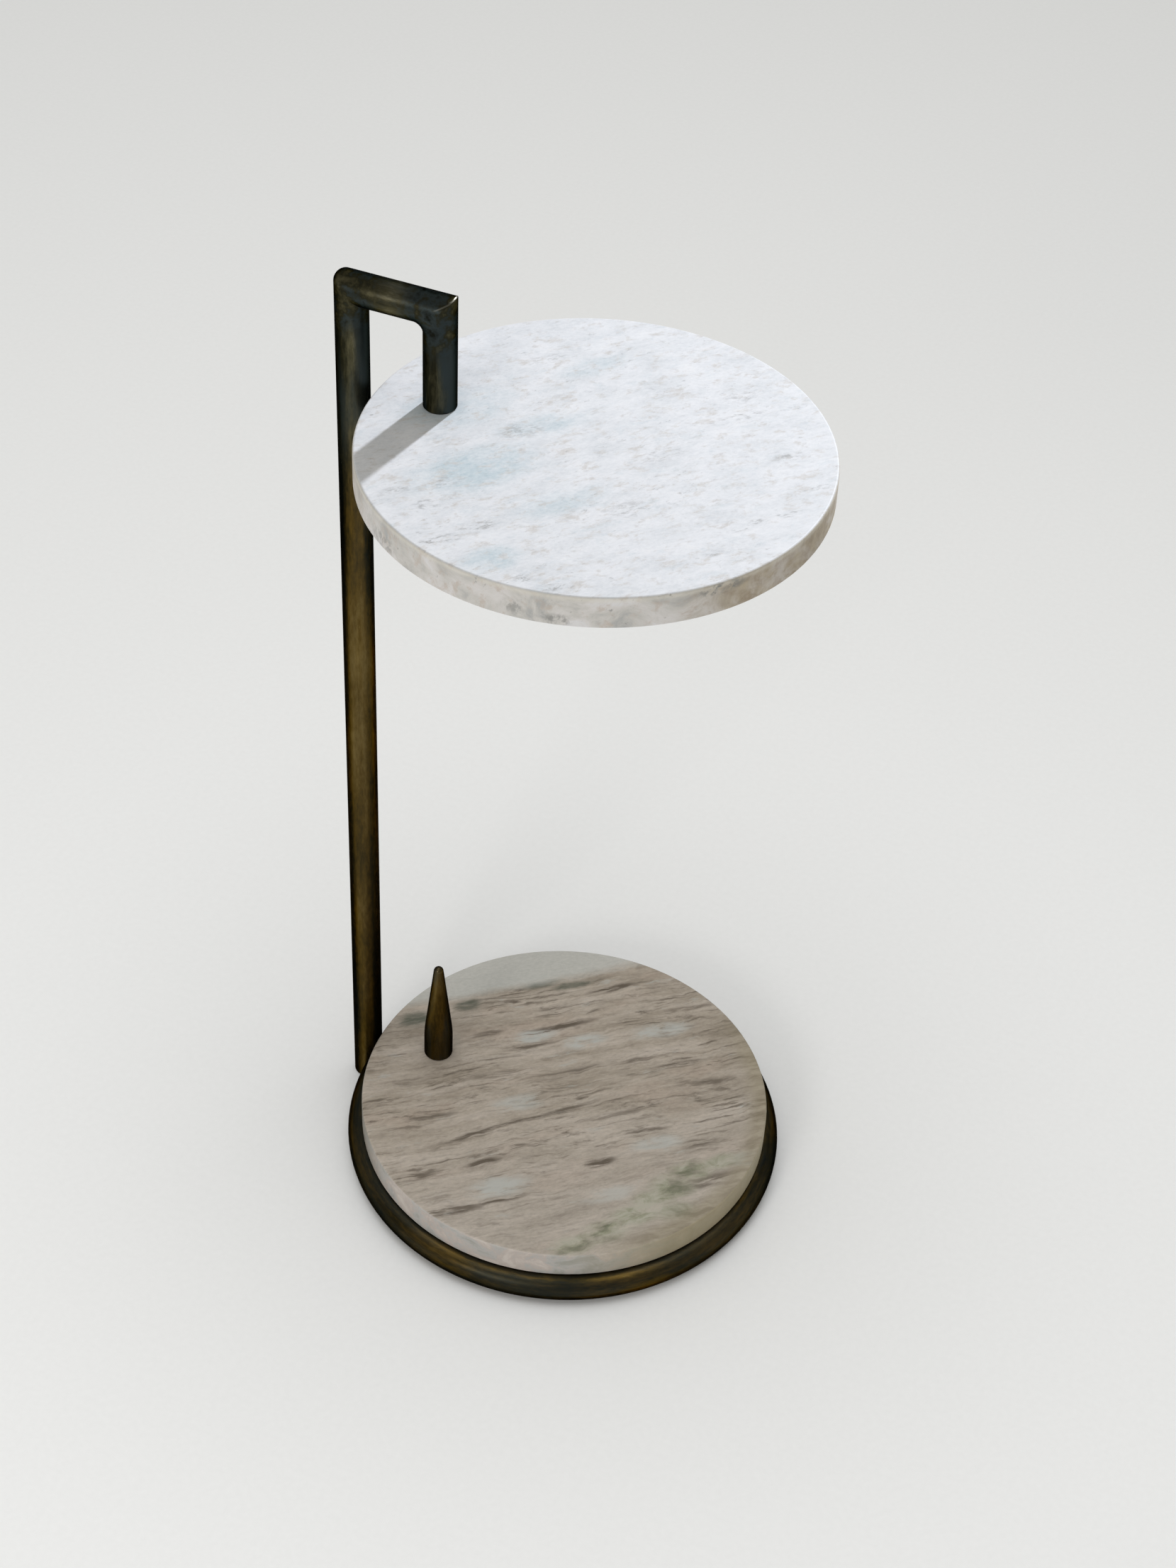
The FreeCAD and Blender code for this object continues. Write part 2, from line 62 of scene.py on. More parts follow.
class Graph:
    """Shader node tree of one material, built from calls that return sockets."""

    def __init__(self, name):
        self.material = bpy.data.materials.new(name)
        self.material.use_nodes = True
        self.tree = self.material.node_tree
        self.tree.nodes.clear()
        self.shader = self.add("ShaderNodeBsdfPrincipled")
        output = self.add("ShaderNodeOutputMaterial")
        self.tree.links.new(self.shader.outputs["BSDF"], output.inputs["Surface"])
        self.place = self.add("ShaderNodeTexCoord").outputs["Object"]

    def add(self, kind, **settings):
        node = self.tree.nodes.new(kind)
        for name, value in settings.items():
            setattr(node, name, value)
        return node

    def feed(self, socket, value):
        """Link or set an input; a colour of three numbers gets its alpha."""
        if isinstance(value, bpy.types.NodeSocket):
            self.tree.links.new(value, socket)
            return
        now = socket.default_value
        if hasattr(now, "__len__") and len(now) == 4 and len(value) == 3:
            value = (*value, 1.0)
        socket.default_value = value

    def set(self, **values):
        """Inputs of the shader, by name with _ for a space."""
        for name, value in values.items():
            self.feed(self.shader.inputs[name.replace("_", " ")], value)

    def mapped(self, vector, scale=(1, 1, 1), turn_z=0.0, shift=(0, 0, 0)):
        node = self.add("ShaderNodeMapping", vector_type="POINT")
        self.feed(node.inputs["Vector"], vector)
        node.inputs["Scale"].default_value = scale
        node.inputs["Rotation"].default_value = (0, 0, turn_z)
        node.inputs["Location"].default_value = shift
        return node.outputs["Vector"]

    def noise(self, vector, scale=1.0, detail=4.0, rough=0.55, bend=0.0, colour=False):
        node = self.add("ShaderNodeTexNoise", noise_dimensions="3D")
        self.feed(node.inputs["Vector"], vector)
        node.inputs["Scale"].default_value = scale
        node.inputs["Detail"].default_value = detail
        node.inputs["Roughness"].default_value = rough
        node.inputs["Distortion"].default_value = bend
        return node.outputs["Color" if colour else "Fac"]

    def ramp(self, factor, *stops):
        """Colour or grey ramp through (position, colour) stops."""
        node = self.add("ShaderNodeValToRGB")
        self.feed(node.inputs["Fac"], factor)
        elements = node.color_ramp.elements
        while len(elements) < len(stops):
            elements.new(0.5)
        for element, (position, colour) in zip(elements, stops):
            element.position = position
            element.color = (*colour, 1) if hasattr(colour, "__len__") else (colour, colour, colour, 1)
        return node.outputs["Color"]

    def span(self, value, low, high, to_low=0.0, to_high=1.0):
        """Smooth step of a value from low to high."""
        node = self.add("ShaderNodeMapRange", interpolation_type="SMOOTHSTEP", clamp=True)
        for name, setting in zip(("Value", "From Min", "From Max", "To Min", "To Max"),
                                 (value, low, high, to_low, to_high)):
            self.feed(node.inputs[name], setting)
        return node.outputs["Result"]

    def math(self, operation, a, b=0.0):
        node = self.add("ShaderNodeMath", operation=operation)
        self.feed(node.inputs[0], a)
        self.feed(node.inputs[1], b)
        return node.outputs["Value"]

    def times(self, a, b):
        return self.math("MULTIPLY", a, b)

    def plus(self, a, b):
        return self.math("ADD", a, b)

    def mix(self, factor, a, b, blend="MIX"):
        node = self.add("ShaderNodeMix", data_type="RGBA", blend_type=blend, clamp_factor=True)
        self.feed(node.inputs["Factor"], factor)
        self.feed(node.inputs[6], a)
        self.feed(node.inputs[7], b)
        return node.outputs[2]

    def split(self, vector):
        node = self.add("ShaderNodeSeparateXYZ")
        self.feed(node.inputs["Vector"], vector)
        return node.outputs

    def join(self, x, y, z):
        node = self.add("ShaderNodeCombineXYZ")
        for socket, value in zip(node.inputs, (x, y, z)):
            self.feed(socket, value)
        return node.outputs["Vector"]

    def spot(self, vector, at, reach, strength=1.0):
        """Mask of an ellipse in the first two coordinates, full at its middle."""
        scale = (1 / reach[0], 1 / reach[1], 0)
        inside = self.mapped(vector, scale, shift=(-at[0] * scale[0], -at[1] * scale[1], 0))
        length = self.add("ShaderNodeVectorMath", operation="LENGTH")
        self.feed(length.inputs[0], inside)
        return self.span(length.outputs["Value"], 0.35, 1.05, strength, 0.0)

    def spots(self, vector, marks):
        """Largest of several spots, each (u, v, half length, half width, strength) in millimetres."""
        total = 0.0
        for u, v, long, wide, strength in marks:
            spot = self.spot(vector, (u / 1000, v / 1000), (long / 1000, wide / 1000), strength)
            total = self.math("MAXIMUM", total, spot)
        return total

    def upright(self):
        """1 on a face that stands upright, 0 on a level one."""
        normal = self.add("ShaderNodeNewGeometry").outputs["True Normal"]
        return self.span(self.math("ABSOLUTE", self.split(normal)[2]), 0.45, 0.9, 1.0, 0.0)

    def warp(self, vector, scale, reach):
        """The vector pushed about by a slow noise, up to about reach."""
        pushed = self.add("ShaderNodeVectorMath", operation="SUBTRACT")
        self.feed(pushed.inputs[0], self.noise(vector, scale, 2.0, 0.5, colour=True))
        pushed.inputs[1].default_value = (0.5, 0.5, 0.5)
        grown = self.add("ShaderNodeVectorMath", operation="SCALE")
        self.feed(grown.inputs[0], pushed.outputs["Vector"])
        grown.inputs["Scale"].default_value = 2 * reach
        total = self.add("ShaderNodeVectorMath", operation="ADD")
        self.feed(total.inputs[0], vector)
        self.feed(total.inputs[1], grown.outputs["Vector"])
        return total.outputs["Vector"]

    def bump(self, height, depth, strength=1.0):
        node = self.add("ShaderNodeBump")
        node.inputs["Strength"].default_value = strength
        node.inputs["Distance"].default_value = depth
        self.feed(node.inputs["Height"], height)
        self.feed(self.shader.inputs["Normal"], node.outputs["Normal"])


def bedded(graph, azimuth):
    """Coordinates along and across the stone's bedding, gently waved, in metres."""
    turned = graph.mapped(graph.place, turn_z=-math.radians(azimuth))
    return graph.warp(graph.warp(turned, 13.0, 0.005), 90.0, 0.0018)


# Marks of the base slab along and across its bedding: (u, v, half length, half width, strength)
DARK_MARKS = (
    (-75, -21, 20, 4, 1.0), (6, 20, 40, 5, 0.8), (64, 91, 25, 5, 1.0), (-73, -47, 20, 5, 1.0),
    (-123, -47, 23, 5, 0.9), (-12, 52, 25, 4, 0.9), (19, 84, 20, 4, 0.8), (14, 64, 40, 4, 1.0),
    (58, 18, 22, 4, 0.8), (87, 8, 26, 4, 0.9), (7, -66, 17, 5, 1.0), (-69, -81, 26, 4, 1.0),
    (-101, -83, 29, 6, 0.9), (100, -14, 31, 5, 0.8), (-99, 2, 25, 5, 0.8), (-38, 69, 19, 4, 0.8),
    (-30, -16, 25, 3, 0.9), (47, -48, 22, 4, 0.9), (81, -66, 19, 5, 0.8), (78, -100, 28, 7, 0.8),
    (-40, 30, 34, 4, 0.6), (30, -28, 34, 4, 0.6), (110, 60, 28, 4, 0.7), (-110, 40, 25, 5, 0.6),
)
PALE_BLUE_MARKS = (
    (-5, 60, 22, 8, 1.0), (29, 47, 20, 8, 1.0), (84, 43, 30, 9, 0.9), (-66, -70, 28, 12, 0.9),
    (52, -60, 24, 9, 0.8), (-35, 0, 26, 10, 0.7), (108, -90, 14, 9, 1.0), (5, -95, 26, 9, 0.6),
)
GREEN_MARKS = (
    (-32, -131, 22, 12, 0.9), (-8, -127, 24, 13, 1.0), (17, -118, 24, 13, 1.0), (34, -109, 22, 13, 1.0),
    (50, -99, 22, 14, 1.0), (67, -89, 22, 12, 1.0), (90, -87, 22, 9, 0.9), (45, -120, 20, 12, 0.8),
)
# Painted dark green shade below the painted strip of light
SHADE_MARKS = ((-85, 96, 18, 10, 1.0), (15, 109, 18, 5, 0.8), (36, 103, 20, 5, 0.8), (-45, 102, 14, 8, 0.9))
BASE_BEDDING = 39.0
BASE_SHADE_EDGE = (0.126, 0.140)


def stone_base():
    """Taupe stone of the base slab: grain, dark streaks, pale blue patches and green veins, with painted
    light and shade: a pale strip of light along the far side, dark green shade below it and shade at its
    edges.
    """
    g = Graph("stone_base")
    bed = bedded(g, BASE_BEDDING)
    along, across, _ = g.split(bed)
    tone = g.noise(g.mapped(bed, (11, 52, 40)), 1.0, 6.0, 0.66)
    colour = g.ramp(tone, (0.30, (0.264, 0.221, 0.170)), (0.43, (0.380, 0.325, 0.264)),
                    (0.56, (0.472, 0.409, 0.344)), (0.70, (0.540, 0.474, 0.410)))
    blush = g.noise(g.mapped(bed, (13, 36, 30), shift=(8.3, 5.1, 2.0)), 1.0, 4.0, 0.6)
    colour = g.mix(g.span(blush, 0.52, 0.70, 0, 0.55), colour, (0.450, 0.365, 0.298))
    colour = g.mix(g.span(across, 0.01, -0.11, 0, 0.42), colour, (0.500, 0.450, 0.400))
    # Fine grain along the bedding
    grain = g.noise(g.mapped(bed, (70, 420, 240), shift=(0.7, 2.3, 0)), 1.0, 4.0, 0.65)
    speck = g.noise(g.mapped(bed, (300, 620, 600), shift=(4.7, 1.3, 0)), 1.0, 3.0, 0.6)
    colour = g.mix(0.40, colour, g.ramp(grain, (0.30, 0.34), (0.5, 0.5), (0.70, 0.60)), "OVERLAY")
    colour = g.mix(0.40, colour, g.ramp(speck, (0.30, 0.36), (0.5, 0.5), (0.70, 0.60)), "OVERLAY")
    # Pale blue patches and pale flecks
    lens = g.noise(g.mapped(bed, (42, 170, 90), shift=(5.0, 0.3, 0.9)), 1.0, 5.0, 0.66)
    fleck = g.noise(g.mapped(bed, (36, 120, 60), shift=(3.1, 1.7, 0.4)), 1.0, 5.0, 0.64)
    blue = g.times(g.spots(bed, PALE_BLUE_MARKS), g.span(fleck, 0.37, 0.54))
    blue = g.math("MAXIMUM", g.times(blue, 0.95), g.span(fleck, 0.60, 0.74, 0, 0.6))
    colour = g.mix(blue, colour, (0.500, 0.502, 0.470))
    # Dark streaks in drifts and at the marks, fewer towards the near side, and one long thread
    drift = g.noise(g.mapped(bed, (9, 30, 20), shift=(1.4, 4.4, 0)), 1.0, 2.0, 0.5)
    streak = g.noise(g.mapped(bed, (30, 330, 120), shift=(9.1, 0.8, 0.5)), 1.0, 5.0, 0.64)
    dark = g.math("MAXIMUM", g.span(lens, 0.55, 0.72), g.span(streak, 0.53, 0.68, 0, 0.9))
    dark = g.times(dark, g.span(drift, 0.36, 0.60, 0.30, 0.90))
    dark = g.times(dark, g.span(across, -0.105, -0.035, 0.4, 1.0))
    broken = g.times(g.spots(bed, DARK_MARKS), g.span(streak, 0.40, 0.58, 0.10, 1.0))
    slant = g.plus(across, g.times(along, -0.09))
    thread = g.span(g.math("ABSOLUTE", g.plus(slant, 0.0135)), 0.0005, 0.0022, 0.9, 0.0)
    thread = g.times(thread, g.span(g.math("ABSOLUTE", g.plus(along, 0.040)), 0.040, 0.075, 1.0, 0.0))
    thread = g.times(thread, g.span(grain, 0.35, 0.55, 0.3, 1.0))
    dark = g.math("MAXIMUM", g.math("MAXIMUM", dark, broken), thread)
    dark = g.times(dark, g.span(blue, 0.2, 0.9, 1.0, 0.4))
    colour = g.mix(g.times(dark, 0.95), colour, (0.108, 0.084, 0.060))
    # Green veins, and painted dark green shade below the painted strip of light
    vein_zone = g.spots(bed, GREEN_MARKS)
    mottle = g.noise(g.mapped(bed, (46, 78, 60), shift=(2.0, 6.1, 0.3)), 1.0, 5.0, 0.62, 0.6)
    green = g.ramp(mottle, (0.38, (0.175, 0.180, 0.118)), (0.48, (0.300, 0.300, 0.212)),
                   (0.60, (0.450, 0.432, 0.350)))
    colour = g.mix(g.times(vein_zone, g.span(lens, 0.36, 0.60, 0.45, 1.0)), colour, green)
    shade = g.times(g.spots(bed, SHADE_MARKS), g.span(lens, 0.35, 0.6, 0.6, 1.0))
    colour = g.mix(shade, colour, (0.105, 0.112, 0.082))
    # Painted light: a pale strip where light falls across the far side
    painted_light_band = g.span(g.plus(across, g.times(fleck, 0.008)), 0.1095, 0.1205)
    pale = g.ramp(speck, (0.3, (0.50, 0.50, 0.465)), (0.7, (0.575, 0.57, 0.535)))
    colour = g.mix(g.times(painted_light_band, 0.88), colour, pale)
    # Painted tan shade inside the edge towards +X
    x, y, _ = g.split(g.place)
    radius = g.math("SQRT", g.plus(g.times(x, x), g.times(y, y)))
    edge = g.times(g.span(radius, *BASE_SHADE_EDGE, 0, 0.75), g.span(x, 0.060, 0.115))
    colour = g.mix(edge, colour, g.ramp(lens, (0.40, (0.375, 0.325, 0.235)), (0.60, (0.245, 0.205, 0.135))))
    # The sawn side is paler and pinker, tan towards +X, and darker towards -X by the post with painted
    # shade
    cloud = g.noise(g.mapped(g.place, (40, 40, 55), shift=(4.1, 0.9, 0)), 1.0, 6.0, 0.68, 0.6)
    rim = g.ramp(cloud, (0.36, (0.36, 0.36, 0.33)), (0.46, (0.49, 0.49, 0.48)), (0.54, (0.56, 0.49, 0.45)),
                 (0.64, (0.68, 0.62, 0.57)))
    rim = g.mix(g.span(x, 0.045, 0.130, 0, 0.85), rim, (0.350, 0.292, 0.160))
    rim = g.mix(g.span(x, -0.070, -0.130, 0, 0.9), rim, (0.185, 0.172, 0.132))
    colour = g.mix(g.times(g.upright(), 0.75), colour, rim)
    g.set(Base_Color=colour, Roughness=g.span(grain, 0.3, 0.7, 0.44, 0.56), Specular_IOR_Level=0.3)
    g.bump(grain, 0.00002)
    return g.material


# Marks of the top slab along and across its bedding, and of its side along X and up Z
COOL_MARKS = ((-62, 68, 46, 26, 0.8), (-75, 6, 50, 26, 1.0), (-20, 34, 38, 14, 0.7), (35, 78, 32, 12, 0.5),
              (-97, -75, 22, 14, 1.0), (-40, -40, 36, 14, 0.6))
GREY_MARKS = (
    (93, 0, 22, 5, 0.8), (102, -48, 16, 5, 0.9), (54, -95, 6, 3, 1.0), (102, -80, 11, 4, 0.9),
    (16, -114, 11, 4, 0.9), (45, -98, 8, 3, 0.9), (74, -96, 12, 4, 0.7), (104, 17, 18, 7, 0.6),
    (-120, -47, 11, 5, 1.0), (-111, -48, 11, 6, 0.8), (-88, -97, 8, 5, 1.0), (-75, -110, 14, 4, 0.9),
    (-111, -16, 11, 6, 0.8), (-92, -44, 17, 7, 0.8), (-34, 32, 20, 11, 0.6), (-123, 2, 12, 6, 0.7),
    (-93, 1, 15, 7, 0.6), (-10, -60, 24, 9, 0.6), (10, 96, 18, 6, 0.6), (30, -20, 26, 9, 0.5),
)
SIDE_MARKS = ((110, 594, 12, 5, 1.0), (34, 581, 10, 5, 0.8), (10, 585, 9, 6, 0.6), (-80, 583, 14, 7, 0.6))
TOP_BEDDING = 47.0
TOP_ARRIS_HIGHLIGHT = (0.5935, 0.5965)


def stone_top():
    """White stone of the top slab: cool clouds, warm mottling and grey flecks along the bedding."""
    g = Graph("stone_top")
    bed = bedded(g, TOP_BEDDING)
    x, _, z = g.split(g.place)
    tone = g.noise(g.mapped(bed, (36, 70, 40), shift=(2.2, 0.6, 0)), 1.0, 7.0, 0.70)
    colour = g.ramp(tone, (0.30, (0.665, 0.680, 0.700)), (0.45, (0.735, 0.745, 0.765)),
                    (0.58, (0.785, 0.790, 0.810)), (0.72, (0.815, 0.812, 0.820)))
    cool = g.times(g.spots(bed, COOL_MARKS), g.span(tone, 0.38, 0.62, 1.0, 0.45))
    colour = g.mix(g.times(cool, 0.9), colour, (0.545, 0.630, 0.668))
    warm = g.noise(g.mapped(bed, (90, 170, 120), shift=(7.1, 3.0, 0)), 1.0, 6.0, 0.70)
    colour = g.mix(g.span(warm, 0.51, 0.68, 0, 0.70), colour, (0.605, 0.570, 0.535))
    blue = g.noise(g.mapped(bed, (62, 125, 100), shift=(1.1, 8.0, 3)), 1.0, 6.0, 0.68)
    colour = g.mix(g.span(blue, 0.54, 0.70, 0, 0.40), colour, (0.600, 0.655, 0.690))
    speck = g.noise(g.mapped(bed, (360, 560, 400), shift=(0.2, 6.3, 0)), 1.0, 4.0, 0.70)
    colour = g.mix(0.65, colour, g.ramp(speck, (0.30, 0.34), (0.5, 0.5), (0.70, 0.62)), "OVERLAY")
    lens = g.noise(g.mapped(bed, (150, 360, 200), shift=(3.0, 1.3, 0.9)), 1.0, 5.0, 0.70)
    drift = g.noise(g.mapped(bed, (14, 40, 20), shift=(6.4, 2.4, 0)), 1.0, 2.0, 0.5)
    grey = g.times(g.span(lens, 0.58, 0.74), g.span(drift, 0.42, 0.62, 0.25, 0.8))
    grey = g.math("MAXIMUM", grey, g.times(g.spots(bed, GREY_MARKS), g.span(lens, 0.46, 0.66)))
    colour = g.mix(g.times(grey, 0.72), colour, (0.262, 0.252, 0.238))
    # The sawn side is warmer, with a painted cream highlight along its upper edge, slanted clouds, tan
    # towards both ends and dark specks
    cloud = g.noise(g.mapped(g.place, (34, 34, 46), shift=(1.7, 0.4, 0)), 1.0, 6.0, 0.66, 0.8)
    edge = g.ramp(cloud, (0.34, (0.46, 0.46, 0.45)), (0.45, (0.63, 0.61, 0.575)),
                  (0.56, (0.74, 0.71, 0.69)), (0.66, (0.80, 0.79, 0.80)))
    edge = g.mix(g.span(warm, 0.50, 0.66, 0, 0.6), edge, (0.560, 0.470, 0.400))
    tan_ends = g.math("MAXIMUM", g.span(x, 0.085, 0.124), g.span(x, -0.095, -0.130, 0, 0.7))
    tan_ends = g.times(tan_ends, g.span(cloud, 0.40, 0.62, 1.0, 0.6))
    edge = g.mix(tan_ends, edge, g.ramp(warm, (0.36, (0.47, 0.385, 0.255)), (0.62, (0.33, 0.25, 0.155))))
    # Painted highlight: cream along the rounded upper edge of the side
    edge = g.mix(g.span(z, *TOP_ARRIS_HIGHLIGHT, 0, 0.45), edge, (0.800, 0.760, 0.660))
    fleck = g.math("MAXIMUM", g.span(lens, 0.62, 0.74, 0, 0.7),
                   g.times(g.spots(g.join(x, z, 0.0), SIDE_MARKS), g.span(lens, 0.40, 0.58)))
    edge = g.mix(g.times(fleck, 0.9), edge, (0.180, 0.180, 0.170))
    colour = g.mix(g.times(g.upright(), 0.9), colour, edge)
    g.set(Base_Color=colour, Roughness=g.span(speck, 0.3, 0.7, 0.44, 0.56), Specular_IOR_Level=0.3)
    g.bump(speck, 0.00002)
    return g.material


class Bronze:
    """Dark bronze patina, rubbed golden in streaks along each tube, with a painted highlight stripe down
    upright tubes, a cool veil that is partly a painted sky reflection and a painted highlight line at the
    bar's front end.
    """

    BLACK = (0.0120, 0.0125, 0.0095)
    BROWN = (0.0310, 0.0235, 0.0090)
    GOLD = (0.0960, 0.0605, 0.0145)
    BRIGHT = (0.1900, 0.1350, 0.0480)
    COOL_PATINA_AND_SHEEN = (0.0360, 0.0460, 0.0465)
    DUN = (0.0270, 0.0258, 0.0148)
    OLIVE = (0.0950, 0.0860, 0.0480)
    PALE = (0.2300, 0.2100, 0.1450)
    EDGE = (0.17, 0.15, 0.10)
    HIGHLIGHT_LINE_COLOUR = (0.42, 0.40, 0.34)

    # Side of an upright tube that gets a painted highlight stripe, heights over which the handle's own
    # patina sets in, and reach of its corners
    HIGHLIGHT_SIDE = (0.32, -0.947)
    HANDLE_RISE = (0.50, 0.60)
    CORNER_REACH = (0.015, 0.034)

    # Painted highlight line on the bar at the dressed joint: run along the tube for each rise, shift from
    # the leg's axis
    LINE_SLOPE = 1.76
    LINE_SHIFT = 0.0072

    def __init__(self, name, run, gold=0.0, cool=0.0, zone=None, front=None, cool_end=None, handle=False):
        """run gives the coordinates the rubbing follows, long on its first axis, from the graph.

        gold shifts the rubbing, zone is (start, full, full, end, gold) along it, front is (axis X, gold)
        for a painted highlight stripe down the front of an upright tube, cool_end is (start, full, cool) of
        a cooler end, and the tubes of the handle share one mottled patina about its corners."""
        self.graph = g = Graph(name)
        lay = run(g)
        length = g.split(lay)[0]
        x, y, z = g.split(g.place)
        rub = g.noise(g.mapped(lay, (5, 120, 120)), 1.0, 4.0, 0.6)
        blotch = g.noise(g.mapped(lay, (18, 48, 48), shift=(3.3, 1.2, 0.8)), 1.0, 5.0, 0.6)
        fine = g.noise(g.mapped(lay, (150, 620, 620)), 1.0, 4.0, 0.66)
        wear = g.plus(g.plus(g.times(rub, 0.5), g.times(blotch, 0.5)), gold)
        wear = g.plus(wear, g.span(fine, 0.3, 0.7, -0.045, 0.045))
        if zone:
            reach = g.times(g.span(length, zone[0], zone[1]), g.span(length, zone[2], zone[3], 1.0, 0.0))
            wear = g.plus(wear, g.times(reach, zone[4]))
        # Painted highlight: a rubbed-gold stripe down the front of an upright tube
        if front:
            across = g.plus(x, -front[0])
            highlight_facing = g.plus(g.times(across, self.HIGHLIGHT_SIDE[0] / TUBE_R), g.times(y, self.HIGHLIGHT_SIDE[1] / TUBE_R))
            wear = g.plus(wear, g.times(g.span(highlight_facing, 0.74, 0.985), front[1]))
        colour = self.rubbed(wear, self.BROWN, self.GOLD, self.BRIGHT)
        if handle:
            olive = self.rubbed(wear, self.DUN, self.OLIVE, self.PALE)
            colour = g.mix(g.span(z, *self.HANDLE_RISE), colour, olive)
        # Cool blue-black veil: partly patina, partly a painted reflection of a bluish sky
        veil = g.noise(g.mapped(lay, (9, 75, 75), shift=(0.6, 4.2, 1.9)), 1.0, 3.0, 0.5)
        chill = g.span(length, cool_end[0], cool_end[1], cool, cool_end[2]) if cool_end else cool
        colour = g.mix(g.times(g.span(veil, 0.34, 0.54), chill), colour, self.COOL_PATINA_AND_SHEEN)
        if handle:
            mottle = g.noise(g.mapped(g.place, (75, 75, 75), shift=(0.4, 1.1, 2.3)), 1.0, 5.0, 0.62)
            patina = g.ramp(mottle, (0.34, self.BLACK), (0.46, self.COOL_PATINA_AND_SHEEN), (0.56, self.DUN),
                            (0.72, self.OLIVE))
            near = g.math("MAXIMUM", self.near_corner(POST_X), self.near_corner(LEG_X))
            colour = g.mix(near, colour, patina)
        # Painted highlight line and glint at the bar's front corner
        if run is along_x:
            colour = g.mix(self.painted_highlight_line(), colour, self.HIGHLIGHT_LINE_COLOUR)
        rough = g.plus(g.span(wear, 0.40, 0.68, 0.42, 0.33), g.span(fine, 0.3, 0.7, -0.04, 0.04))
        g.set(Base_Color=colour, Metallic=1.0, Specular_Tint=self.EDGE, Roughness=rough)
        g.bump(g.plus(g.times(fine, 0.2), blotch), 0.0003, 0.7)
        self.material = g.material

    def rubbed(self, wear, low, middle, high):
        """Colour from the dark patina up to the metal rubbed most."""
        return self.graph.ramp(wear, (0.38, self.BLACK), (0.50, low), (0.66, middle), (0.84, high))

    def near_corner(self, x):
        """1 about a corner of the handle, fading along its tubes."""
        away = self.graph.add("ShaderNodeVectorMath", operation="DISTANCE")
        self.graph.feed(away.inputs[0], self.graph.place)
        away.inputs[1].default_value = (x, 0, BAR_Z)
        return self.graph.span(away.outputs["Value"], *self.CORNER_REACH, 1.0, 0.0)

    def painted_highlight_line(self):
        """Painted highlight: a thin bright line along the dressed joint at the bar's front end, with a
        painted glint at its tip.
        """
        g = self.graph
        x, _, z = g.split(g.place)
        rise = g.plus(z, -BAR_Z)
        off = g.plus(g.plus(x, self.LINE_SHIFT - LEG_X), g.times(rise, -self.LINE_SLOPE))
        off = g.times(g.math("ABSOLUTE", off), 1 / math.hypot(1, self.LINE_SLOPE))
        line = g.times(g.span(off, 0.0001, 0.0006, 1.0, 0.0), g.span(rise, 0.0035, 0.0060, 0.0, 0.24))
        tip = g.times(g.span(off, 0.0003, 0.0011, 1.0, 0.0), g.span(rise, 0.0087, 0.0096, 0.0, 0.8))
        return g.math("MAXIMUM", line, tip)


def along_z(g):
    """Height first, for an upright tube."""
    x, y, z = g.split(g.place)
    return g.join(z, x, y)


def along_x(g):
    """The object's own coordinates, for the level bar."""
    return g.place


def around(g):
    """Arc length about the ring, then radius and height."""
    x, y, z = g.split(g.place)
    turn = g.math("ARCTAN2", y, x)
    radius = g.math("SQRT", g.plus(g.times(x, x), g.times(y, y)))
    return g.join(g.times(turn, RING_R), radius, z)


def zinc():
    """Zinc-plated steel of the fasteners."""
    g = Graph("zinc")
    fine = g.noise(g.place, 700.0, 3.0, 0.6)
    g.set(Base_Color=g.ramp(fine, (0.3, (0.42, 0.43, 0.44)), (0.7, (0.60, 0.61, 0.62))), Metallic=1.0,
          Roughness=g.span(fine, 0.3, 0.7, 0.26, 0.38))
    return g.material


def rubber():
    """Matt dark rubber of the gaskets and pads."""
    g = Graph("rubber")
    fine = g.noise(g.place, 1400.0, 3.0, 0.6)
    g.set(Base_Color=g.ramp(fine, (0.3, 0.010), (0.7, 0.022)), Roughness=g.span(fine, 0.3, 0.7, 0.72, 0.88))
    g.bump(fine, 0.0001)
    return g.material


def dress(names, material):
    """Give CAD pieces one material."""
    for name in names:
        slots = nodes[name].data.materials
        slots.clear()
        slots.append(material)


def make_tube(name, points, radii, material, sides=10):
    """Closed tube through a loop of points, as a piece of the frame."""
    mesh = bpy.data.meshes.new(name)
    shape = bmesh.new()
    count = len(points)
    rings = []
    side = Vector((0, 0, 1))
    turns = [2 * math.pi * k / sides for k in range(sides)]
    for i, point in enumerate(points):
        run = (points[(i + 1) % count] - points[i - 1]).normalized()
        side = (side - run * side.dot(run)).normalized()
        over = run.cross(side)
        spokes = [side * math.cos(t) + over * math.sin(t) for t in turns]
        rings.append([shape.verts.new(point + radii[i] * spoke) for spoke in spokes])
    # The frame turns a little about a closed loop, so the last ring is matched to the first
    first, last = rings[0], rings[-1]

    def twist(slip):
        return sum((last[k].co - first[(k + slip) % sides].co).length for k in range(sides))

    slip = min(range(sides), key=twist)
    for i in range(count):
        near = rings[i]
        far = rings[(i + 1) % count]
        skip = slip if i == count - 1 else 0
        for k in range(sides):
            beside = (k + 1) % sides
            corners = (near[k], near[beside], far[(beside + skip) % sides], far[(k + skip) % sides])
            shape.faces.new(corners).smooth = True
    bmesh.ops.recalc_face_normals(shape, faces=shape.faces)
    shape.to_mesh(mesh)
    shape.free()
    mesh.materials.append(material)
    piece = bpy.data.objects.new(name, mesh)
    bpy.context.scene.collection.objects.link(piece)
    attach(piece, "root")


WELD_R = 0.00085
WELD_RIPPLE = 0.10
WELD_POINTS = 300
RIPPLE_POINTS = 5


